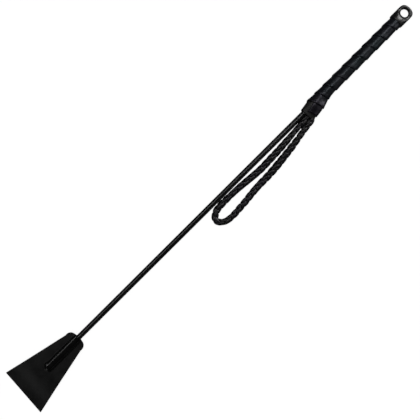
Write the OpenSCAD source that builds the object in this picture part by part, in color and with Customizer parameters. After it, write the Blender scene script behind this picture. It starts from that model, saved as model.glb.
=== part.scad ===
// Riding crop: covered fibreglass shaft, leather-wrapped handle with a braided wrist loop
// bound in at its front, a moulded butt cap with a hang hole, and a two-layer leather flap.
// It lies on its side on Z = 0, with X from the flap to the butt. Millimetres.

/* [Overall] */
// Length from the far corner of the flap to the end of the butt cap
total_len = 653; // [600:1:700]

/* [Shaft] */
// Diameter of the covered shaft at the flap end
shaft_tip_d = 6.1; // [5.6:0.1:6.1]
// Diameter of the covered shaft at the butt end
shaft_butt_d = 6.6; // [6.2:0.1:6.6]
// Wall of the smooth cover over the rod
cover_wall = 0.9; // [0.5:0.1:1.2]

/* [Handle] */
// Length of the leather-wrapped grip in front of the butt cap
grip_len = 153.2; // [130:0.2:170]
// Diameter of the moulded handle core
core_d = 12.8; // [12.8:0.1:13.4]
// Thickness of the leather strip
strip_t = 0.8; // [0.6:0.1:0.8]
// Turns of the strip along the grip
turns = 9; // [7:1:11]

/* [Butt cap] */
// Length of the cap behind the grip
cap_len = 24; // [23:0.5:32]
// Width of the cap
cap_w = 18.4; // [18.2:0.2:20]
// Thickness of the flattened eye
eye_t = 5.6; // [4.4:0.2:9]
// Diameter of the hang hole
hang_hole_d = 9.6; // [7:0.2:9.8]

/* [Wrist loop] */
// Diameter of the braided cord
cord_d = 8.6; // [7.4:0.1:8.6]
// Diameter of the cord where it is drawn tight at the handle
cord_neck_d = 6.2; // [5.6:0.1:6.2]
// Diameter of the skived cord ends bound inside the handle
tail_d = 4.2; // [3.6:0.1:4.2]

/* [Flap] */
// Length of the flap on the centre line
flap_len = 96.8; // [90:0.2:104]
// Width of the flap at its far edge
flap_w = 63; // [50:1:66]
// Thickness of one leather layer
layer_t = 1.5; // [1.2:0.1:1.5]
// How far the rod reaches into the flap
rod_depth = 48.8; // [40:0.2:52]
// How much further one far corner reaches than the other
flap_skew = 4.2; // [0:0.2:5]
// How far the free end droops, down to the surface the crop lies on
flap_droop = 7.6; // [0:0.1:7.6]

/* [Hidden] */
$fn = 64;

glue = 0.05;                    // gap left for glue between nested parts
nil = 0.01;                     // gap between faces that meet
axis_z = cap_w / 2;             // the cap's round socket is what touches the surface
tip_x = -total_len / 2;
butt_x = total_len / 2;
cap_x = butt_x - cap_len;       // front edge of the cap
mouth_x = cap_x - grip_len;     // front edge of the grip, where the loop comes out
flap_top_x = tip_x + flap_len;
rod_tip_x = flap_top_x - rod_depth;
rod_butt_x = cap_x + 5.5;       // the rod and the core end inside the cap
core_r = core_d / 2;
tail_r = tail_d / 2;

// Rod end cover and the hinge line of the flap just beyond it
tip_cap_r = 3.4;
tip_cap_wall = 0.8;
ridge_r = 4.7;                  // outside radius of the leather over the rod
tip_cap_len = 6;
hinge_x = rod_tip_x - 4.5;
hinge_gap = 1.6;

// Layout of the bound cord ends, from the shaft outwards along -Y
shaft_r_mouth = 3.25;
inner_tail_y = shaft_r_mouth + glue + tail_r;
outer_tail_y = inner_tail_y + tail_d + glue;
lobe_edge = outer_tail_y + tail_r;
tail_gap = 2 * glue;
tail_edge = lobe_edge + tail_gap;
flare = 2.4;                    // how much further out the outer cord end lies at the mouth
flare_len = 7;
side_edge = [[0, tail_edge + flare], [flare_len, tail_edge]];
loop_hinge_ahead = 10;          // distance of the loop's bending line in front of the mouth
dome = [75, 50, 25];            // ring angles of a domed cord end

// Places behind the mouth, and thicknesses, of what is wrapped over the cord ends
nose_r = 4.25;                  // front radius of the core's tapered nose
wrap_from = 3;                  // front edge of the strip's first turn
nose_len = 13;
binding_from = 14;              // thread binding round the cord ends
binding_to = 19;
channel_len = 33;               // side channel of the core
swell_to = 37;                  // end of the swelling over the cord ends
thread_t = 0.35;

// Route of the loop: [distance ahead of the mouth, distance to the side, height]
loop_route = [
    [10, 6.8, 9.2], [19, 7.3, 8.9], [29, 8.2, 8.3], [42, 9.3, 7.3], [55, 10.1, 6.3], [69, 10.6, 5.4],
    [81, 11.1, 4.8], [93, 10.5, 4.6], [105, 9.4, 4.5], [117, 8.4, 4.5], [129, 7.9, 4.5],
    [139, 7.7, 4.5], [149, 7.9, 4.5], [156, 9, 4.5], [160, 11.2, 4.5], [163.2, 13.8, 4.5],
    [164.4, 17.2, 4.5], [163, 20.8, 4.5], [159.4, 24.2, 4.5], [154, 26.3, 4.5], [145, 27, 4.5],
    [135, 26.4, 4.5], [123, 25.5, 4.5], [111, 24.1, 4.5], [99, 23.2, 4.6], [87, 23, 4.8],
    [75, 22.4, 5.2], [63, 21.3, 5.8], [51, 19.9, 6.6], [39, 18.4, 7.5], [27, 16.6, 8.4],
    [18, 15, 9], [10, 13.6, 9.2]];

function unit(v) = v / norm(v);
function lerp(a, b, u) = a + (b - a) * u;

// Radius of the covered shaft at x
function shaft_r(x) =
    lerp(shaft_tip_d, shaft_butt_d, (x - rod_tip_x) / (rod_butt_x - rod_tip_x)) / 2;

// A solid of revolution about the crop's axis from x0 to x1, with a radius at each end
module along(x0, x1, r0, r1) {
    translate([x0, 0, axis_z]) rotate([0, 90, 0]) cylinder(h = x1 - x0, r1 = r0, r2 = r1);
}

// Extrudes a side view drawn as (X, Z) over the full width of the flap
module side_view(width) {
    translate([0, width / 2, 0]) rotate([90, 0, 0]) linear_extrude(width) children();
}

// Distance from the axis to the outline round the handle and the cord ends beside it, in the
// direction t away from the side: two circles and their common tangent
function lobe_reach(t, main_r, side_r, edge) =
    let (d = edge - side_r, a = acos((main_r - side_r) / d),
         b = atan2(side_r * sin(a), d + side_r * cos(a)))
    t >= a ? main_r
    : t >= b ? main_r / cos(a - t)
    : d * cos(t) + sqrt(side_r * side_r - pow(d * sin(t), 2));

// Points of that outline x behind the mouth, closer together at the side
function lobe_ring(x, main_r, side_r, edge) =
    [for (i = [-24 : 23])
        let (t = 180 * pow(abs(i) / 24, 1.6), r = lobe_reach(t, main_r, side_r, edge))
        [mouth_x + x, -r * cos(t), axis_z - sign(i) * r * sin(t)]];

// Skin over the handle's front end, one closed shell. Each station is [distance behind the
// mouth, inner radius, inner side edge, wall].
module sleeve(stations, side_r) {
    outer = [for (s = stations) lobe_ring(s[0], s[1] + s[3], side_r + s[3], s[2] + s[3])];
    inner = [for (s = stations) lobe_ring(s[0], s[1], side_r, s[2])];
    n = len(outer[0]);
    count = len(stations);
    far = (count - 1) * n;
    core = count * n;
    polyhedron(
        points = concat([for (one = outer) each one], [for (one = inner) each one]),
        faces = [for (k = [0 : n - 1]) let (m = (k + 1) % n) each concat(
            [[k, m, core + m, core + k], [far + m, far + k, core + far + k, core + far + m]],
            [for (i = [0 : count - 2]) let (a = i * n, b = a + n) each
                [[a + k, b + k, b + m, a + m],
                 [core + a + k, core + a + m, core + b + m, core + b + k]]])]);
}

// One ring of a tube: centre, direction, radius
function ring(c, dir, r, sides) =
    let (side = unit(cross(dir, [0, 0, 1])), up = cross(side, dir))
    [for (k = [0 : sides - 1]) c + r * (cos(360 * k / sides) * side - sin(360 * k / sides) * up)];

function route_dir(p, i) = unit(p[min(i + 1, len(p) - 1)] - p[max(i - 1, 0)]);

// Closes a row of rings into one solid
module rings_to_solid(rings, sides) {
    n = len(rings);
    polyhedron(
        points = [for (one = rings) each one],
        faces = concat(
            [[for (k = [0 : sides - 1]) k]],
            [for (i = [0 : n - 2], k = [0 : sides - 1])
                [i * sides + k, (i + 1) * sides + k, (i + 1) * sides + (k + 1) % sides,
                 i * sides + (k + 1) % sides]],
            [[for (k = [sides - 1 : -1 : 0]) (n - 1) * sides + k]]));
}

// A closed tube whose rings are all square to X; each point is [x, y, radius]
module straight_tube(points, sides = 12) {
    rings_to_solid([for (p = points) ring([p[0], p[1], axis_z], [1, 0, 0], p[2], sides)], sides);
}

// A tube along the route p with the radius r[i] at each point, and round ends
module round_tube(p, r, sides = 10) {
    last = len(p) - 1;
    from_dir = route_dir(p, 0);
    to_dir = route_dir(p, last);
    rings_to_solid(concat(
        [for (a = dome) ring(p[0] - from_dir * r[0] * sin(a), from_dir, r[0] * cos(a), sides)],
        [for (i = [0 : last]) ring(p[i], route_dir(p, i), r[i], sides)],
        [for (i = [1 : len(dome)]) let (a = dome[len(dome) - i])
            ring(p[last] + to_dir * r[last] * sin(a), to_dir, r[last] * cos(a), sides)]), sides);
}

// --- Shaft -------------------------------------------------------------------------------

module shaft_rod() {
    color([0.16, 0.15, 0.14])
        along(rod_tip_x, rod_butt_x, shaft_r(rod_tip_x) - cover_wall, shaft_r(rod_butt_x) - cover_wall);
}

module shaft_cover() {
    bore_gap = cover_wall - glue / 2;
    color([0.05, 0.05, 0.05]) difference() {
        along(rod_tip_x, rod_butt_x, shaft_r(rod_tip_x), shaft_r(rod_butt_x));
        along(rod_tip_x - 1, rod_butt_x + 1, shaft_r(rod_tip_x - 1) - bore_gap,
              shaft_r(rod_butt_x + 1) - bore_gap);
    }
}

// Rounded rubber cup that keeps the rod from wearing through the leather
module rod_tip_cap_shape(r) {
    translate([rod_tip_x + tip_cap_wall, 0, axis_z]) sphere(r);
    along(rod_tip_x + tip_cap_wall, rod_tip_x + tip_cap_len, r, r);
}

module rod_tip_cap() {
    bore_r = shaft_tip_d / 2 + 2 * glue;
    color([0.08, 0.08, 0.08]) difference() {
        rod_tip_cap_shape(tip_cap_r);
        along(rod_tip_x - glue, rod_tip_x + tip_cap_len + 1, bore_r, bore_r);
    }
}

// --- Handle ------------------------------------------------------------------------------

// Moulded core with a bore for the shaft and an open channel beside it for the cord ends
module handle_core() {
    color([0.2, 0.2, 0.2]) difference() {
        union() {
            along(mouth_x + 1, mouth_x + nose_len, nose_r, core_r);
            along(mouth_x + nose_len, rod_butt_x, core_r, core_r);
        }
        along(mouth_x, rod_butt_x + 1, shaft_r(mouth_x) + glue, shaft_r(rod_butt_x + 1) + glue);
        translate([mouth_x, -core_r - 2, 0]) cube([channel_len, core_r, 2 * axis_z]);
    }
}

// One end of the loop's cord: a domed neck outside the mouth, then the skived tail inside,
// which starts spread further out, and may run on past its straight part, thinner and nearer
// the shaft
module cord_end(neck_y, tail_y, spread, tapered) {
    neck_r = cord_neck_d / 2;
    neck_x = mouth_x - loop_hinge_ahead + 2.45 * neck_r;
    mouth_y = tail_y + spread;
    straight_tube(concat(
        [for (a = dome) [neck_x - neck_r * sin(a), -neck_y, neck_r * cos(a)]],
        [[neck_x, -neck_y, neck_r],
         [mouth_x - 1.4, -lerp(neck_y, mouth_y, 0.5), lerp(neck_r, tail_r, 0.3)],
         [mouth_x - tail_gap, -mouth_y, tail_r],
         [mouth_x + flare_len, -tail_y, tail_r], [mouth_x + nose_len + 3, -tail_y, tail_r]],
        tapered ? [[mouth_x + channel_len - 3, -tail_y + 2.9, 0.6 * tail_r]] : []));
}

module loop_tails() {
    color([0.07, 0.07, 0.08]) {
        cord_end(loop_route[0][1], inner_tail_y, 0, false);
        cord_end(loop_route[len(loop_route) - 1][1], outer_tail_y, flare, true);
    }
}

// Waxed thread whipped round the core and both cord ends
module loop_binding() {
    color([0.12, 0.11, 0.1]) sleeve(
        [for (x = [binding_from, binding_to]) [x, core_r + glue, tail_edge, thread_t]],
        tail_r + tail_gap);
}

// Radius of the core at x behind the mouth, along its tapered nose
function nose_at(x) = lookup(x, [[0, nose_r], [nose_len, core_r]]);

// Plain leather band that closes the mouth, under the first turn of the strip
module mouth_band() {
    color([0.16, 0.15, 0.13]) sleeve(
        [for (x = [0, flare_len, nose_len]) [x, nose_at(x) + glue, lookup(x, side_edge), strip_t]],
        tail_r + tail_gap);
}

// Leather strip wound from the mouth to the cap, each turn lapping over the one in front of it.
// The front turns swell to one side, over the band, the thread and the bound cord ends.
module grip_wrap() {
    pitch = grip_len / turns;
    plain_from = ceil(swell_to / pitch);    // first turn that is round
    inner_r = core_r + glue;
    low_r = core_r + strip_t;               // a turn where it lies on the core
    lapped_t = 1.5 * strip_t;               // mean thickness where the turns lap
    over_band = strip_t + tail_gap;
    over_thread = thread_t + tail_gap;
    nearly_round = 0.1;                     // side edge beyond the radius where the swelling ends
    tucked = 3;                             // length inside the cap
    color([0.2, 0.2, 0.22]) {
        sleeve(concat(
            [for (x = [wrap_from, flare_len, nose_len])
                [x, nose_at(x) + glue + over_band, lookup(x, side_edge) + over_band, strip_t]],
            [[binding_to + 1, inner_r + over_thread, tail_edge + over_thread, lapped_t],
             [swell_to, inner_r, inner_r + nearly_round, lapped_t],
             [plain_from * pitch - nil, inner_r, inner_r + nearly_round, low_r - inner_r]]),
            tail_r + tail_gap + over_band);
        translate([0, 0, axis_z]) rotate([0, 90, 0]) rotate_extrude()
            polygon(concat(
                [[inner_r, cap_x + tucked], [inner_r, mouth_x + plain_from * pitch]],
                [for (i = [plain_from : turns - 1]) each
                    [[low_r + strip_t, mouth_x + i * pitch], [low_r, mouth_x + (i + 1) * pitch]]],
                [[low_r, cap_x + tucked]]));
    }
}

// Moulded cap: a round socket that flattens into an eye with the hang hole through it
module butt_cap() {
    r = cap_w / 2;
    end_r = r + 0.1;
    round_x = cap_x + 5;                    // end of the round socket
    flat_x = cap_x + 10;                    // where the flat eye begins
    rim = 4;                                // material between the hole and the end
    hole_x = butt_x - rim - hang_hole_d / 2;
    wrap_socket_r = core_r + strip_t + glue;
    wrap_socket_len = 3 + glue;
    color([0.1, 0.1, 0.11]) difference() {
        intersection() {
            along(cap_x, butt_x + 1, r, r);
            side_view(2 * cap_w) polygon([
                [cap_x, axis_z - cap_w], [round_x, axis_z - cap_w], [round_x, axis_z - r],
                [flat_x, axis_z - eye_t / 2], [butt_x + 1, axis_z - eye_t / 2],
                [butt_x + 1, axis_z + eye_t / 2], [flat_x, axis_z + eye_t / 2],
                [round_x, axis_z + r], [round_x, axis_z + cap_w], [cap_x, axis_z + cap_w]]);
            translate([0, 0, -1]) linear_extrude(cap_w + 2) {
                translate([butt_x - end_r, 0]) circle(end_r);
                translate([cap_x - 1, -cap_w]) square([butt_x - end_r - cap_x + 1, 2 * cap_w]);
            }
        }
        along(cap_x - 1, cap_x + wrap_socket_len, wrap_socket_r, wrap_socket_r);
        along(cap_x, rod_butt_x + glue, core_r + glue, core_r + glue);
        translate([hole_x, 0, -1]) cylinder(h = cap_w + 2, d = hang_hole_d);
    }
}

// --- Flap --------------------------------------------------------------------------------

// Plan of the flap: rounded shoulders, straight flaring sides and a slightly skewed far edge
module flap_plan() {
    shoulder_r = 7.5;
    shoulder_y = 5.5;
    sweep = 102;                            // angle the shoulder turns through
    steps = 8;
    points = [for (i = [0 : steps]) let (a = sweep * i / steps)
        [flap_top_x - shoulder_r + shoulder_r * cos(a), shoulder_y + shoulder_r * sin(a)]];
    polygon(concat(
        points,
        [[tip_x + flap_skew, flap_w / 2], [tip_x, -flap_w / 2]],
        [for (i = [steps : -1 : 0]) [points[i][0], -points[i][1]]]));
}

// Height of the middle of the flap at x: level to the hinge line, then drooping in an S
function flap_z(x) =
    let (u = max(0, min(1, (hinge_x - x) / (hinge_x - tip_x))))
    axis_z - flap_droop * (1 - cos(180 * u)) / 2;

// Keeps the part of the flap on one side of the hinge line
module flap_part(from_x, to_x) {
    intersection() {
        linear_extrude(3 * axis_z) flap_plan();
        translate([from_x, -flap_w, -1]) cube([to_x - from_x, 2 * flap_w, 4 * axis_z]);
        children();
    }
}

// One leather layer of the fixed half, with the half tunnel it makes over the rod; up is 1 or -1
module root_layer(up) {
    front_x = hinge_x + hinge_gap / 2;
    color([0.08, 0.08, 0.08]) difference() {
        flap_part(front_x, flap_top_x) {
            intersection() {
                union() {
                    translate([front_x, -flap_w, axis_z - layer_t])
                        cube([flap_len, 2 * flap_w, 2 * layer_t]);
                    along(rod_tip_x + tip_cap_wall, flap_top_x + 1, ridge_r, ridge_r);
                    translate([rod_tip_x + tip_cap_wall, 0, axis_z]) sphere(ridge_r);
                }
                translate([tip_x, -flap_w, axis_z + (up > 0 ? nil : -2 * axis_z - nil)])
                    cube([2 * flap_len, 2 * flap_w, 2 * axis_z]);
            }
        }
        along(rod_tip_x, flap_top_x + 2, shaft_r(flap_top_x) + glue, shaft_r(flap_top_x) + glue);
        rod_tip_cap_shape(tip_cap_r + glue);
    }
}

module flap_front_root() {
    root_layer(1);
}

module flap_back_root() {
    root_layer(-1);
}

// One leather layer of the free half
module tip_layer(up) {
    back_x = hinge_x - hinge_gap / 2;
    steps = 12;
    xs = [for (i = [0 : steps]) lerp(back_x, tip_x - 1, i / steps)];
    near = up > 0 ? nil : -nil;
    color([0.1, 0.1, 0.1]) flap_part(tip_x - 2, back_x)
        side_view(2 * flap_w) polygon(concat(
            [for (i = [0 : steps]) [xs[i], flap_z(xs[i]) + near]],
            [for (i = [steps : -1 : 0]) [xs[i], flap_z(xs[i]) + up * layer_t]]));
}

module flap_front_tip() {
    tip_layer(1);
}

module flap_back_tip() {
    tip_layer(-1);
}

// Lock-stitch thread beside the rod: one short run on each face for every stitch
module flap_stitches() {
    pitch = 4.5;
    run = 3.2;
    row_y = 6.4;                            // distance of each row from the shaft's axis
    thread_r = 0.3;
    from_x = rod_tip_x + 2;
    to_x = flap_top_x - 5;
    count = floor((to_x - from_x) / pitch);
    color([0.06, 0.06, 0.06])
        for (i = [0 : count - 1], side = [-1, 1], face = [-1, 1])
            translate([from_x + i * pitch, side * row_y, axis_z + face * (layer_t + thread_r + nil)]) {
                rotate([0, 90, 0]) cylinder(h = run, r = thread_r, $fn = 16);
                sphere(thread_r, $fn = 16);
                translate([run, 0, 0]) sphere(thread_r, $fn = 16);
            }
}

// --- Wrist loop --------------------------------------------------------------------------

module wrist_loop() {
    points = [for (p = loop_route) [mouth_x - p[0], -p[1], p[2]]];
    tight_len = 30;                         // stretch over which the cord relaxes to full size
    radii = [for (p = loop_route)
        let (u = min(1, (p[0] - loop_hinge_ahead) / tight_len))
        lerp(cord_neck_d, cord_d, sin(90 * u)) / 2];
    color([0.07, 0.07, 0.08]) round_tube(points, radii);
}

shaft_rod();
shaft_cover();
rod_tip_cap();
handle_core();
loop_tails();
loop_binding();
mouth_band();
grip_wrap();
butt_cap();
flap_front_root();
flap_back_root();
flap_stitches();
flap_front_tip();
flap_back_tip();
wrist_loop();
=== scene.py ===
"""Riding crop: the visible pieces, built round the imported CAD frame. Metres, +X towards the butt."""

import math

import bmesh
import bpy
import numpy as np
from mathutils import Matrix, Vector


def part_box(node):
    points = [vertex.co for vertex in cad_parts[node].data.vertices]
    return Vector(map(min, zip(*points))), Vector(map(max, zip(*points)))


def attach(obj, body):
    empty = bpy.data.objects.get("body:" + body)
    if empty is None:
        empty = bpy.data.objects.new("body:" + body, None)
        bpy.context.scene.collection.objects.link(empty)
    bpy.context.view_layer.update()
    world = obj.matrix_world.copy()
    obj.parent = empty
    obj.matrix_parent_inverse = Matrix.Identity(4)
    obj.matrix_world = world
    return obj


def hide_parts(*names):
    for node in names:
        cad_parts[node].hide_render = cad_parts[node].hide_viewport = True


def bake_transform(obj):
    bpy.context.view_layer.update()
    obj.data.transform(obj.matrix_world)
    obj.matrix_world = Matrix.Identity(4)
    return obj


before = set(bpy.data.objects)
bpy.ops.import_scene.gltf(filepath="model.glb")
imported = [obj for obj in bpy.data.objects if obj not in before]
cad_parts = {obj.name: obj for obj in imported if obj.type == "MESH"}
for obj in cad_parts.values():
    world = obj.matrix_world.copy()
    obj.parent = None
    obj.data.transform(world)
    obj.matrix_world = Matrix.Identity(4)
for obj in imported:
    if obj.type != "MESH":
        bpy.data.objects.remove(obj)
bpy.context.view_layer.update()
scene = bpy.context.scene
MM = 0.001
FULLER = 0.25 * MM  # how far the drawn-on cover and the wound strip stand proud of nominal size

# Places and sizes that follow from the CAD frame
rod_low, rod_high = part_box("shaft_cover")
axis_z = (rod_low.z + rod_high.z) / 2
shaft_r = (rod_high.z - rod_low.z) / 2
mouth_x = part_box("mouth_band")[0].x
cap_low, cap_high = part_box("butt_cap")
cap_x, butt_x, cap_r = cap_low.x, cap_high.x, cap_high.y
core_r = (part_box("handle_core")[1].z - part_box("handle_core")[0].z) / 2
side_edge = -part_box("mouth_band")[0].y
flap_top_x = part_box("flap_front_root")[1].x
flap_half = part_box("flap_front_tip")[1].y
tip_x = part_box("flap_front_tip")[0].x
hinge_x = (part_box("flap_front_root")[0].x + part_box("flap_front_tip")[1].x) / 2

CAMERA_LENS = 64.8  # millimetres, on a 36 mm sensor
CAMERA_HIGH = 0.9  # above the crop's axis
CAMERA_X, CAMERA_Y = -0.0114, -0.0028
CAMERA_TURN = math.radians(-44.86)
BOX_FAR = 1.6  # distance of every soft box from the middle of the crop
FLOOR_REACH = 12
FLOOR_GLOW = 0.93


# --- Camera and light ----------------------------------------------------------------------


def make_camera():
    """Straight down, with the crop running from the lower left to the upper right."""
    data = bpy.data.cameras.new("camera")
    data.sensor_width = 36
    data.lens = CAMERA_LENS
    cam = bpy.data.objects.new("camera", data)
    scene.collection.objects.link(cam)
    cam.location = (CAMERA_X, CAMERA_Y, axis_z + CAMERA_HIGH)
    cam.rotation_euler = (0, 0, CAMERA_TURN)
    data.clip_start = 0.05
    scene.camera = cam


def softbox(name, azimuth, elevation, size, power, shines=True):
    """A soft box aimed at the crop, for reflections only or, without shines, for matt light only."""
    data = bpy.data.lights.new(name, "AREA")
    data.shape = "RECTANGLE"
    data.size, data.size_y = size
    data.energy = power
    lamp = bpy.data.objects.new(name, data)
    turn, rise = math.radians(azimuth), math.radians(elevation)
    toward = Vector((math.cos(rise) * math.cos(turn), math.cos(rise) * math.sin(turn), math.sin(rise)))
    place = toward * BOX_FAR
    lamp.location = place
    lamp.rotation_mode = "QUATERNION"
    lamp.rotation_quaternion = (-place).to_track_quat("-Z", "Y")
    lamp.visible_glossy = shines
    lamp.visible_diffuse = not shines
    scene.collection.objects.link(lamp)


def make_studio():
    """Soft boxes round the crop, a faint sky that darkens upwards, and a pale floor."""
    world = bpy.data.worlds.new("studio")
    world.use_nodes = True
    world.node_tree.nodes["Background"].inputs["Color"].default_value = (0.95, 0.97, 1, 1)
    tree = world.node_tree
    coords = tree.nodes.new("ShaderNodeTexCoord")
    axes = tree.nodes.new("ShaderNodeSeparateXYZ")
    tree.links.new(coords.outputs["Generated"], axes.inputs["Vector"])
    dark_above = spread(tree, axes.outputs["Z"], 0.05, 0.02, (0.1, 0.6))
    tree.links.new(dark_above, tree.nodes["Background"].inputs["Strength"])
    scene.world = world
    scene.view_settings.view_transform = "Standard"
    softbox("butt_box", 0, 30, (0.45, 0.9), 11)
    softbox("side_box", 324, 20, (0.6, 0.7), 4.2)
    softbox("long_strip", 105, 60, (1.4, 0.2), 3.8)
    softbox("low_side", 270, 10, (1.8, 0.3), 0.45)
    softbox("low_back", 90, 10, (1.8, 0.3), 0.15)
    softbox("top_box", 14, 68, (0.22, 0.8), 2.4)
    softbox("flap_box", 180, 18, (0.5, 0.6), 1.2)
    softbox("fill", 0, 90, (1.6, 1.6), 2.6, shines=False)
    mesh = bpy.data.meshes.new("floor")
    corners = [(a * FLOOR_REACH, b * FLOOR_REACH, 0) for a, b in ((-1, -1), (1, -1), (1, 1), (-1, 1))]
    mesh.from_pydata(corners, [], [(0, 1, 2, 3)])
    floor = bpy.data.objects.new("floor", mesh)
    mesh.materials.append(plain_floor())
    scene.collection.objects.link(floor)
    floor.visible_glossy = False
    floor.visible_diffuse = False


# --- Materials -----------------------------------------------------------------------------


def add(tree, kind, **inputs):
    node = tree.nodes.new(kind)
    for key, value in inputs.items():
        node.inputs[key].default_value = value
    return node


def noise(tree, scale, detail=4.0):
    coords = tree.nodes.new("ShaderNodeTexCoord")
    node = add(tree, "ShaderNodeTexNoise", Scale=scale, Detail=detail)
    tree.links.new(coords.outputs["Object"], node.inputs["Vector"])
    return node.outputs["Fac"]


def spread(tree, value, low, high, middle=(0.35, 0.65)):
    """Maps a stretch of a value, by default the middle of a noise, to low..high."""
    node = tree.nodes.new("ShaderNodeMapRange")
    for key, number in zip(("From Min", "From Max", "To Min", "To Max"), (*middle, low, high)):
        node.inputs[key].default_value = number
    tree.links.new(value, node.inputs["Value"])
    return node.outputs["Result"]


def mix(tree, factor, first, second):
    node = tree.nodes.new("ShaderNodeMix")
    node.data_type = "RGBA"
    tree.links.new(factor, node.inputs["Factor"])
    for value, socket in ((first, node.inputs[6]), (second, node.inputs[7])):
        if isinstance(value, tuple):
            socket.default_value = (*value, 1)
        else:
            tree.links.new(value, socket)
    return node.outputs[2]


def bump(tree, height, depth, strength=1.0, under=None):
    node = add(tree, "ShaderNodeBump", Strength=strength, Distance=depth)
    tree.links.new(height, node.inputs["Height"])
    if under is not None:
        tree.links.new(under, node.inputs["Normal"])
    return node.outputs["Normal"]


def surface(name, colours, patch, rough, grain, depth, specular=0.5, pebbles=False, sheens=None):
    """A dull-to-satin surface: three colours in patches, uneven roughness and a fine grain."""
    mat = bpy.data.materials.new(name)
    mat.use_nodes = True
    tree = mat.node_tree
    shader = tree.nodes["Principled BSDF"]
    shader.inputs["Specular IOR Level"].default_value = specular
    broad = spread(tree, noise(tree, patch, 2), 0, 1)
    fine = spread(tree, noise(tree, patch * 7, 5), 0, 0.8)
    colour = mix(tree, broad, colours[0], colours[1])
    tree.links.new(mix(tree, fine, colour, colours[2]), shader.inputs["Base Color"])
    if sheens:
        tree.links.new(mix(tree, broad, *sheens), shader.inputs["Specular Tint"])
    tree.links.new(spread(tree, noise(tree, patch * 4, 5), *rough), shader.inputs["Roughness"])
    height = noise(tree, grain, 6)
    if pebbles:
        coords = tree.nodes.new("ShaderNodeTexCoord")
        cells = add(tree, "ShaderNodeTexVoronoi", Scale=grain)
        tree.links.new(coords.outputs["Object"], cells.inputs["Vector"])
        height = cells.outputs["Distance"]
    rolling = bump(tree, noise(tree, grain / 14, 2), depth * 4, 0.5)
    tree.links.new(bump(tree, height, depth, 0.6, rolling), shader.inputs["Normal"])
    return mat


def plain_floor():
    """Pale and almost shadowless, as on a lit table."""
    mat = surface("floor", ((0.79, 0.79, 0.79), (0.81, 0.81, 0.81), (0.8, 0.8, 0.8)), 3, (0.9, 1), 900, 1e-5)
    shader = mat.node_tree.nodes["Principled BSDF"]
    shader.inputs["Emission Color"].default_value = (1, 1, 1, 1)
    shader.inputs["Emission Strength"].default_value = FLOOR_GLOW
    return mat


def shaft_material():
    return surface("shaft_cover", ((0.008, 0.008, 0.008), (0.011, 0.011, 0.011), (0.006, 0.006, 0.006)),
                   40, (0.21, 0.27), 900, 4e-6, specular=0.65)


def braid_material():
    return surface("loop_leather", ((0.012, 0.012, 0.012), (0.013, 0.012, 0.018), (0.007, 0.007, 0.008)),
                   45, (0.3, 0.44), 1400, 3e-5, sheens=((1, 0.99, 0.98), (0.93, 0.9, 1)))


def grip_material():
    return surface("grip_leather", ((0.01, 0.019, 0.027), (0.019, 0.013, 0.026), (0.012, 0.012, 0.018)),
                   20, (0.29, 0.4), 1300, 2.5e-5, pebbles=True, sheens=((0.76, 0.93, 1), (0.92, 0.85, 1)))


def band_material():
    return surface("band_leather", ((0.022, 0.021, 0.018), (0.027, 0.026, 0.023), (0.017, 0.016, 0.014)),
                   60, (0.5, 0.62), 1300, 2.5e-5, pebbles=True)


def cap_material():
    return surface("cap_rubber", ((0.015, 0.015, 0.017), (0.019, 0.019, 0.022), (0.012, 0.012, 0.014)),
                   60, (0.27, 0.36), 1600, 2e-5, specular=0.6)


def flap_material():
    """Fine-grained leather, rubbed smoother on top of the ridge over the rod."""
    mat = surface("flap_leather", ((0.006, 0.006, 0.006), (0.008, 0.008, 0.0078), (0.005, 0.005, 0.005)),
                  24, (0.38, 0.5), 1500, 3e-5, specular=0.4, pebbles=True)
    tree = mat.node_tree
    coords = tree.nodes.new("ShaderNodeTexCoord")
    axes = tree.nodes.new("ShaderNodeSeparateXYZ")
    tree.links.new(coords.outputs["Object"], axes.inputs["Vector"])
    leather_top = axis_z + LAYER_T
    ridge_side = (leather_top + 0.5 * MM, leather_top + 2 * MM)
    rubbed = spread(tree, axes.outputs["Z"], 1, RUBBED_ROUGH, ridge_side)
    times = tree.nodes.new("ShaderNodeMath")
    times.operation = "MULTIPLY"
    rough = tree.nodes["Principled BSDF"].inputs["Roughness"]
    tree.links.new(rough.links[0].from_socket, times.inputs[0])
    tree.links.new(rubbed, times.inputs[1])
    tree.links.new(times.outputs["Value"], rough)
    return mat


def thread_material():
    return surface("thread", ((0.01, 0.01, 0.01), (0.014, 0.014, 0.013), (0.006, 0.006, 0.006)),
                   200, (0.5, 0.65), 2500, 4e-5)


def hidden_material():
    return surface("hidden_parts", ((0.05, 0.05, 0.05), (0.06, 0.06, 0.058), (0.04, 0.04, 0.04)),
                   60, (0.45, 0.6), 900, 2e-5)


# --- Mesh helpers --------------------------------------------------------------------------


def build(name, points, faces, material):
    mesh = bpy.data.meshes.new(name)
    mesh.from_pydata([tuple(p) for p in points], [], faces)
    shell = bmesh.new()
    shell.from_mesh(mesh)
    bmesh.ops.recalc_face_normals(shell, faces=shell.faces)
    shell.to_mesh(mesh)
    shell.free()
    mesh.polygons.foreach_set("use_smooth", [True] * len(mesh.polygons))
    mesh.materials.append(material)
    obj = bpy.data.objects.new(name, mesh)
    scene.collection.objects.link(obj)
    return obj


def ring_faces(rings, sides, first=0, joined=False):
    """Quads between rings of points that follow each other, with a face on each end unless joined."""
    faces = []
    for i in range(rings if joined else rings - 1):
        a, b = first + i * sides, first + (i + 1) % rings * sides
        for k in range(sides):
            m = (k + 1) % sides
            faces.append((a + k, a + m, b + m, b + k))
    if not joined:
        faces.append(tuple(range(first, first + sides)))
        faces.append(tuple(range(first + (rings - 1) * sides, first + rings * sides)))
    return faces


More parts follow.
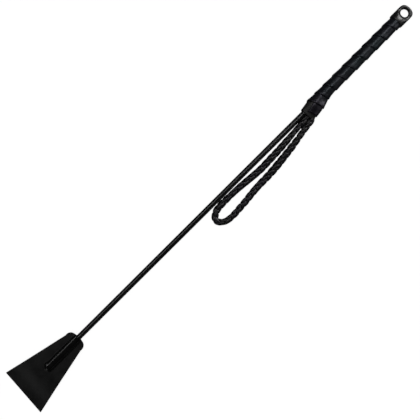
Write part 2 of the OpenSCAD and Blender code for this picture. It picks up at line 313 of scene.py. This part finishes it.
def smooth_line(points, step):
    """A Catmull-Rom curve through the points, with points step apart."""
    p = np.array(points, float)
    p = np.vstack([2 * p[0] - p[1], p, 2 * p[-1] - p[-2]])
    u = np.linspace(0, 1, 12, endpoint=False)[:, None]
    pieces = []
    for a, b, c, d in zip(p[:-3], p[1:-2], p[2:-1], p[3:]):
        pieces.append(0.5 * (2 * b + (c - a) * u + (2 * a - 5 * b + 4 * c - d) * u**2
                             + (3 * b - a - 3 * c + d) * u**3))
    line = np.vstack([*pieces, p[-2:-1]])
    along = np.concatenate([[0], np.cumsum(np.linalg.norm(np.diff(line, axis=0), axis=1))])
    at = np.linspace(0, along[-1], int(along[-1] / step) + 1)
    return np.stack([np.interp(at, along, line[:, k]) for k in range(3)], axis=1), at


def smooth_step(value):
    u = np.clip(value, 0, 1)
    return u * u * (3 - 2 * u)


def smooth_max(a, b, reach):
    """The larger of the two, with a fillet where they meet."""
    h = np.clip(reach - np.abs(a - b), 0, None) / reach
    return np.maximum(a, b) + h * h * reach / 4


# --- Wrist loop ----------------------------------------------------------------------------

# The loop's route: distance ahead of the handle's mouth, distance to the side, height
LOOP_ROUTE = [
    (0.010, 0.0068, 0.0092), (0.019, 0.0073, 0.0089), (0.029, 0.0082, 0.0083),
    (0.042, 0.0093, 0.0073), (0.055, 0.0101, 0.0063), (0.069, 0.0106, 0.0054),
    (0.081, 0.0111, 0.0048), (0.093, 0.0105, 0.0046), (0.105, 0.0094, 0.0045),
    (0.117, 0.0084, 0.0045), (0.129, 0.0079, 0.0045), (0.139, 0.0077, 0.0045),
    (0.149, 0.0079, 0.0045), (0.156, 0.009, 0.0045), (0.160, 0.0112, 0.0045),
    (0.1632, 0.0138, 0.0045), (0.1644, 0.0172, 0.0045), (0.163, 0.0208, 0.0045),
    (0.1594, 0.0242, 0.0045), (0.154, 0.0263, 0.0045), (0.145, 0.027, 0.0045),
    (0.135, 0.0264, 0.0045), (0.123, 0.0255, 0.0045), (0.111, 0.0241, 0.0045),
    (0.099, 0.0232, 0.0046), (0.087, 0.023, 0.0048), (0.075, 0.0224, 0.0052),
    (0.063, 0.0213, 0.0058), (0.051, 0.0199, 0.0066), (0.039, 0.0184, 0.0075),
    (0.027, 0.0166, 0.0084), (0.018, 0.015, 0.009), (0.010, 0.0136, 0.0092),
]
STRAND_LAY = 18 * MM  # length in which a strand goes once round the cord
STRAND_W = 5.6 * MM
STRAND_T = 2.3 * MM
STRAND_R = 2.85 * MM  # distance of the strands' middle from the cord's
CORE_R = 2.8 * MM
WEAVE_HIGH = 0.85 * MM  # how far a strand rises and sinks where it crosses the others
STRAND_SIDES, CORE_SIDES = 18, 12


def cord_scale(ahead):
    """Size beside nominal: skived inside, tight near the mouth, fullest half way, less at the turn."""
    at_mouth = 0.04 * smooth_step((16 * MM - ahead) / (8 * MM))
    relaxed = 0.16 * smooth_step((ahead - 22 * MM) / (20 * MM))
    relaxed = relaxed + 0.06 * smooth_step((ahead - 50 * MM) / (20 * MM))
    worn = 0.11 * smooth_step((ahead - 100 * MM) / (30 * MM))
    inside = 0.6 + 0.4 * smooth_step((ahead + 6 * MM) / (6 * MM))
    return (0.82 + at_mouth + relaxed - worn) * inside


def braided_loop():
    """Four flat strands round a core, two turning each way, over one and under one."""
    inner_y, outer_y = 5.3 * MM, 9.55 * MM
    ends = [(-14 * MM, inner_y, axis_z), (-5 * MM, inner_y, axis_z)]
    other = [(-7 * MM, outer_y, axis_z), (-14 * MM, outer_y, axis_z)]
    mouth = [(0.5 * MM, 5.7 * MM, axis_z), (4 * MM, 6.3 * MM, axis_z)]
    far_mouth = [(4 * MM, 12.9 * MM, axis_z), (0.5 * MM, 12.2 * MM, axis_z)]
    route = ends + mouth + LOOP_ROUTE + far_mouth + other
    line, at = smooth_line([(mouth_x - a, -s, z) for a, s, z in route], 0.6 * MM)
    direction = np.gradient(line, axis=0)
    direction /= np.linalg.norm(direction, axis=1)[:, None]
    side = np.cross(direction, (0, 0, 1))
    side /= np.linalg.norm(side, axis=1)[:, None]
    up = np.cross(side, direction)
    scale = cord_scale(mouth_x - line[:, 0])
    phase = np.cumsum(2 * math.pi / (STRAND_LAY * (1 + 0.25 * (1 - scale))) * np.gradient(at))
    twist = 0.9 * np.sin(at / (52 * MM)) + 0.35 * np.sin(at / (21 * MM) + 1)
    slant = math.atan(2 * math.pi * STRAND_R / STRAND_LAY)
    points, faces = [], []
    for turn in (1, -1):
        for start in (0, math.pi):
            first = len(points)
            loose = 1 + 0.05 * np.sin(at / (7.3 * MM) + 2.1 * start + turn)
            strand = np.empty((len(at), STRAND_SIDES, 3))
            for k in range(STRAND_SIDES):
                a = 2 * math.pi * (k + 0.5) / STRAND_SIDES
                across = STRAND_W / 2 * math.copysign(abs(math.cos(a)) ** 0.8, math.cos(a)) * loose * scale
                high = STRAND_T / 2 * math.copysign(abs(math.sin(a)) ** 0.7, math.sin(a)) * scale
                here = at - turn * across * math.sin(slant)
                weave = turn * phase + start + across * math.cos(slant) / (STRAND_R * scale)
                r = STRAND_R * scale + turn * WEAVE_HIGH * scale * np.cos(2 * weave) * loose + high
                spin = weave + np.interp(here, at, twist)
                place, lift, out = [np.stack([np.interp(here, at, v[:, j]) for j in range(3)], axis=1)
                                    for v in (line, up, side)]
                strand[:, k] = place + (r * np.cos(spin))[:, None] * lift + (r * np.sin(spin))[:, None] * out
            strand[..., 2] = np.maximum(strand[..., 2], 0.1 * MM)
            points.extend(strand.reshape(-1, 3))
            faces += ring_faces(len(line), STRAND_SIDES, first)
    first = len(points)
    for centre, lift, out, size in zip(line, up, side, CORE_R * scale):
        for k in range(CORE_SIDES):
            a = 2 * math.pi * k / CORE_SIDES
            points.append(centre + size * (math.cos(a) * lift + math.sin(a) * out))
    faces += ring_faces(len(line), CORE_SIDES, first)
    loop = build("braided_loop", points, faces, braid_material())
    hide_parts("wrist_loop", "loop_tails")
    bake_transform(loop)


# --- Handle --------------------------------------------------------------------------------

STRIP_T = 0.8 * MM
MOUND_HIGH = 0.7 * MM  # how far the bound cord ends lift the skin
CORD_ENDS_T = 1.6 * MM  # how much they widen the handle's rounded side
SIDE_R = 3 * MM  # radius of the handle's rounded side where the cord ends lie


def lobe_reach(away, main_r, side_r, edge):
    """Distance from the axis to the outline of two circles and their tangents, away from the side."""
    edge = max(edge, main_r + 0.02 * MM)
    d = edge - side_r
    a = math.acos((main_r - side_r) / d)
    b = math.atan2(side_r * math.sin(a), d + side_r * math.cos(a))
    if away >= a:
        return main_r
    if away >= b:
        return main_r / math.cos(a - away)
    return d * math.cos(away) + math.sqrt(side_r**2 - (d * math.sin(away)) ** 2)


def under_strip(x):
    """Radius and side edge of what the strip's rear edge lies on, x behind the mouth."""
    near = [x - 2 * MM, x - MM, x, x + MM, x + 2 * MM]
    low_r = core_r + STRIP_T
    main = np.interp(near, np.array([0, 13, 37]) * MM, [5.1 * MM, low_r + 0.05 * MM, low_r]).mean()
    flared = side_edge - 2.3 * MM
    edge = np.interp(near, np.array([0, 7, 13, 20, 27, 36, 44]) * MM,
                     [side_edge, flared, flared, 11.9 * MM, 9.95 * MM, 7.5 * MM, low_r]).mean()
    return main, edge


def mound(x, away):
    """How far the bound cord ends lift the skin over and under them, away from the side."""
    behind = max(0, x - 19 * MM) / (6.5 * MM)
    middle = 0.7 + 0.35 * smooth_step(x / (19 * MM))
    return MOUND_HIGH * math.exp(-(behind**2) - ((away - middle) / 0.55) ** 2)


def handle_point(x, angle, lift):
    """A point on the handle's skin: angle 0 is +Y, a quarter turn is the top, a half turn is -Y."""
    main, edge = under_strip(x)
    away = abs((angle % (2 * math.pi)) - math.pi)
    thick = CORD_ENDS_T * smooth_step(x / (8 * MM)) * (1 - smooth_step((x - 20 * MM) / (13 * MM)))
    side_r = min(SIDE_R + thick, main) + lift
    r = lobe_reach(away, main + lift, side_r, edge + lift) + mound(x, away)
    return (mouth_x + x, r * math.cos(angle), axis_z + r * math.sin(angle))


def strip_front(turn):
    """Where the strip's front edge is after so many turns: close turns over the cord ends first."""
    close, open_, change = 12.5 * MM, 16.85 * MM, 2.75
    later = 0.3 * math.log1p(math.exp((turn - change) / 0.3))
    sway = 0.22 * math.sin(7.3 * turn) + 0.16 * math.sin(17.1 * turn + 1)
    corner = 1.5 * MM * max(0, 1 - turn / 0.16) ** 2
    return 4.3 * MM + close * turn + (open_ - close) * later + sway * MM - corner


def crumple(x, angle):
    """Creases where the strip climbs off the bound cord ends."""
    away = abs((angle % (2 * math.pi)) - math.pi)
    here = math.exp(-(((x - 24 * MM) / (7 * MM)) ** 2)) * math.exp(-((away / 1.5) ** 2))
    waves = math.sin(x / (0.9 * MM) + 3 * angle) + 0.8 * math.sin(x / (1.7 * MM) - 5 * angle + 1)
    return 0.09 * MM * here * waves


def wound_strip():
    """One leather strip, each turn lapping over the one in front of it."""
    start, per_turn, across, below = 107 / 360, 72, 13, 5
    last_x = cap_x - mouth_x + 3 * MM
    points, rings, turn = [], 0, 0.0
    while strip_front(turn) < last_x - 0.5 * MM:
        front = strip_front(turn)
        pitch = strip_front(turn + 1) - front
        width = min(pitch + 4 * MM, last_x - front)
        cut = max(0, 1 - turn * 14) * 0.075
        places = [(width * (i / (across - 1)) ** 1.4, True) for i in range(across)]
        places += [(width * (1 - (i + 0.5) / below), False) for i in range(below)]
        for w, outside in places:
            q = w / pitch
            angle = 2 * math.pi * (start + turn - cut * q)
            lift = STRIP_T * (1 - q) if q < 1 else -0.06 * MM
            swell = 0.16 * MM * math.exp(-(((q - 0.14) / 0.16) ** 2))
            round_off = 0.4 * MM * max(0, 1 - w / (0.55 * MM)) ** 2
            lift += (swell - round_off) if outside else -STRIP_T
            lift += crumple(front + w, angle) + FULLER
            points.append(handle_point(front + w, angle, lift))
        rings += 1
        turn += 1 / per_turn
    strip = build("grip_strip", points, ring_faces(rings, across + below), grip_material())
    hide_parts("grip_wrap")
    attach(strip, "crop")


def mouth_band():
    """Plain band with a rounded front lip; the cord and the shaft come out of it."""
    sides = 96
    profile = [(15, 0), (11, 0), (7, 0), (4, 0), (2, 0), (0.9, 0), (0.4, -0.06), (0.12, -0.2), (0, -0.4),
               (0.12, -0.6), (0.4, -0.74), (0.9, -0.8), (4, -0.8), (9, -0.8), (15, -0.8)]
    points = []
    for k in range(sides):
        angle = 2 * math.pi * k / sides
        slack = 0.12 * MM * math.sin(3 * angle) + 0.08 * MM * math.sin(7 * angle + 1)
        for x, lift in profile:
            fade = max(0, 1 - x / 6)
            points.append(handle_point(x * MM + slack * fade * 2, angle, lift * MM + slack * fade))
    band = build("mouth_band_leather", points, ring_faces(sides, len(profile), joined=True), band_material())
    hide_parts("mouth_band")
    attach(band, "crop")


HOLE_R = 4.8 * MM
HOLE_RIM = 4 * MM  # material between the hang hole and the cap's end
EYE_HALF = 2.8 * MM
SOCKET_DEEP = 5.5 * MM  # how far the handle's core goes into the cap


def surface_net(field, low, step):
    """Points and quads of the surface where a sampled field is zero."""
    cells = tuple(n - 1 for n in field.shape)
    total, count = np.zeros((*cells, 3)), np.zeros(cells)
    quads = []
    for axis in range(3):
        others = [k for k in range(3) if k != axis]
        for shift in ((0, 0), (0, 1), (1, 0), (1, 1)):
            near = [slice(0, -1)] * 3
            for k, by in zip(others, shift):
                near[k] = slice(by, field.shape[k] - 1 + by)
            far = list(near)
            far[axis] = slice(1, None)
            a, b = field[tuple(near)], field[tuple(far)]
            crossed = (a < 0) != (b < 0)
            place = np.zeros((*cells, 3))
            place[..., axis] = np.divide(a, a - b, out=np.zeros_like(a), where=crossed)
            for k, by in zip(others, shift):
                place[..., k] = by
            total += place * crossed[..., None]
            count += crossed
    used = np.argwhere(count > 0)
    index = np.full(cells, -1)
    index[tuple(used.T)] = np.arange(len(used))
    points = low + step * (used + total[tuple(used.T)] / count[tuple(used.T)][:, None])
    for axis in range(3):
        j, k = [n for n in range(3) if n != axis]
        a = np.take(field, range(field.shape[axis] - 1), axis)
        b = np.take(field, range(1, field.shape[axis]), axis)
        for cell in np.argwhere((a < 0) != (b < 0)):
            corners = []
            for dj, dk in ((0, 0), (-1, 0), (-1, -1), (0, -1)):
                c = cell.copy()
                c[j] += dj
                c[k] += dk
                corners.append(int(index[tuple(c)]))
            quads.append(tuple(corners))
    return points, quads


def moulded_cap():
    """Round socket that flattens into a thick rounded eye, with wide fillets round the hang hole."""
    step = 0.35 * MM
    pad = 1 * MM
    low = np.array([cap_x - pad, -cap_r - pad, axis_z - cap_r - pad])
    high = np.array([butt_x + pad, cap_r + pad, axis_z + cap_r + pad])
    grid = np.meshgrid(*[np.arange(a, b, step) for a, b in zip(low, high)], indexing="ij")
    x, y, z = grid[0] - cap_x, grid[1] / 1.02, grid[2] - axis_z
    length = butt_x - cap_x
    hole_x = length - HOLE_RIM - HOLE_R
    from_axis = np.hypot(y, z)
    round_part = from_axis - cap_r
    slab = np.abs(z) - EYE_HALF - (cap_r - EYE_HALF) * (1 - smooth_step((x - 1.5 * MM) / (15 * MM)))
    bend_x, plan_r = length - cap_r, cap_r + 0.7 * MM
    ahead = np.clip(x - bend_x, 0, None) / cap_r
    plan = ((ahead**2.2 + np.abs(y / plan_r) ** 2.2) ** (1 / 2.2) - 1) * cap_r
    body = smooth_max(round_part, slab, 2 * MM)
    body = smooth_max(body, plan, 1.8 * MM)
    body = smooth_max(body, -x, 0.7 * MM)
    handle_side = smooth_step((hole_x - x) / (5 * MM))
    body = smooth_max(body, HOLE_R - np.hypot(x - hole_x, y), (2.4 + 2.4 * handle_side) * MM)
    body = np.maximum(body, -np.maximum(from_axis - core_r - STRIP_T, x - 3 * MM))
    body = np.maximum(body, -np.maximum(from_axis - core_r, x - SOCKET_DEEP))
    points, quads = surface_net(body, low, step)
    cap = build("moulded_cap", points, quads, cap_material())
    smooth = cap.modifiers.new("smooth", "SMOOTH")
    smooth.factor, smooth.iterations = 0.5, 3
    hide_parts("butt_cap")
    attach(cap, "crop")


def shaft_skin():
    """The thin cover drawn over the rod, very slightly uneven."""
    sides, step = 64, 4 * MM
    xs = np.arange(rod_low.x, rod_high.x, step)
    tip_r = shaft_r - 0.25 * MM
    points = []
    for x in xs:
        r = tip_r + (shaft_r - tip_r) * (x - rod_low.x) / (rod_high.x - rod_low.x) + FULLER
        for k in range(sides):
            a = 2 * math.pi * k / sides
            uneven = 0.004 * MM * math.sin(x / (17 * MM) + 2 * a) + 0.006 * MM * math.sin(x / (41 * MM) - a)
            points.append((x, (r + uneven) * math.cos(a), axis_z + (r + uneven) * math.sin(a)))
    skin = build("shaft_skin", points, ring_faces(len(xs), sides), shaft_material())
    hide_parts("shaft_cover")
    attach(skin, "crop")


# --- Flap ----------------------------------------------------------------------------------

LAYER_T = 1.5 * MM
FLAP_LEN = flap_top_x - tip_x
FLAP_SKEW = 4.2 * MM
SHOULDER_R = 7.5 * MM
SHOULDER_Y = 5.5 * MM
RIDGE_TOP = 2.1 * MM  # half width of the ridge's flat top
RIDGE_SHOULDER = 1.1 * MM
RIDGE_FLANK = 2.8 * MM
RIDGE_HIGH = 3.2 * MM
BOSS_OUT = 1.8 * MM  # how far the boss at the rod's end widens the ridge
RUBBED_ROUGH = 0.55  # roughness of the ridge's top, as a share of the rest of the leather's
TUNNEL_HALF, TUNNEL_HIGH = 3.5 * MM, 3.4 * MM


def flap_middle(x):
    """Height between the two layers: level to the hinge line, then drooping to the floor in an S."""
    u = min(1, max(0, (hinge_x - x) / (hinge_x - tip_x)))
    low = LAYER_T + 0.12 * MM
    return axis_z - (axis_z - low) * (1 - math.cos(math.pi * u)) / 2


def ridge(x, y):
    """How far the rod lifts the leather: flat top, sloping shoulders, steep flanks, a boss at its end."""
    end = max(0, rod_low.x - 0.2 * MM - x)
    out = max(0, math.hypot(end, y) - RIDGE_TOP)
    boss = BOSS_OUT * math.exp(-(((x - rod_low.x) / (1.7 * MM)) ** 2)) * smooth_step(y / (2 * MM))
    down = min(max(0, out - RIDGE_SHOULDER - boss) / RIDGE_FLANK, 2)
    raw = RIDGE_HIGH * (1 - down**1.4) - 0.22 * out
    return float(smooth_max(np.float64(raw), np.float64(0), 0.6 * MM))


def tunnel(x, y):
    """Inner face of a layer, over the shaft and the rod's end cap."""
    if x < rod_low.x - TUNNEL_HALF or abs(y) > TUNNEL_HALF:
        return 0.01 * MM
    return 0.01 * MM + TUNNEL_HIGH * (1 - (abs(y) / TUNNEL_HALF) ** 2.2) ** (1 / 2.2)


def flap_rows():
    """Distances from the flap's top with the half width at each, finer round the shoulders."""
    sweep = math.radians(102)
    rows = []
    for i in range(15):
        a = sweep * i / 14
        rows.append((SHOULDER_R * (1 - math.cos(a)), SHOULDER_Y + SHOULDER_R * math.sin(a)))
    d0, w0 = rows[-1]
    count = 84
    for i in range(1, count + 1):
        u = i / count
        rows.append((d0 + (FLAP_LEN - d0) * u, w0 + (flap_half - w0) * u))
    return rows


def flap_layer(name, up, root, tip):
    """One leather layer as a closed sheet; up is 1 for the front and -1 for the back."""
    rows, columns = flap_rows(), 96
    outer, inner = [], []
    for d, half in rows:
        for k in range(columns + 1):
            v = 2 * k / columns - 1
            x = flap_top_x - d * (1 - FLAP_SKEW / FLAP_LEN * (1 + v) / 2)
            y = half * v
            u = max(0, (hinge_x - x) / (hinge_x - tip_x))
            sway = 0.25 * MM * math.sin(1.7 * v + 5 * u) * u * (1 - u) * 4
            middle = flap_middle(x) + sway
            outer.append((x, y, middle + up * (LAYER_T + ridge(x, y))))
            inner.append((x, y, middle + up * tunnel(x, y)))
    n, wide = len(rows), columns + 1
    faces = []
    for base in (0, n * wide):
        for i in range(n - 1):
            for k in range(columns):
                a = base + i * wide + k
                faces.append((a, a + 1, a + wide + 1, a + wide))
    rim = list(range(wide)) + [i * wide + columns for i in range(1, n)]
    rim += [(n - 1) * wide + k for k in range(columns - 1, -1, -1)]
    rim += [i * wide for i in range(n - 2, 0, -1)]
    for a, b in zip(rim, rim[1:] + rim[:1]):
        faces.append((a, b, b + n * wide, a + n * wide))
    layer = build(name, outer + inner, faces, flap_material())
    bevel = layer.modifiers.new("bevel", "BEVEL")
    bevel.width, bevel.segments, bevel.angle_limit = 0.25 * MM, 2, math.radians(60)
    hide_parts(root, tip)
    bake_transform(layer)


def paint_cad(material, *nodes):
    """Gives CAD parts that stay as they are their material."""
    for node in nodes:
        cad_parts[node].data.materials.clear()
        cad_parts[node].data.materials.append(material)


make_camera()
braided_loop()
make_studio()
shaft_skin()
mouth_band()
wound_strip()
moulded_cap()
flap_layer("flap_front", 1, "flap_front_root", "flap_front_tip")
flap_layer("flap_back", -1, "flap_back_root", "flap_back_tip")

paint_cad(hidden_material(), "shaft_rod", "rod_tip_cap", "handle_core")
paint_cad(thread_material(), "loop_binding", "flap_stitches")
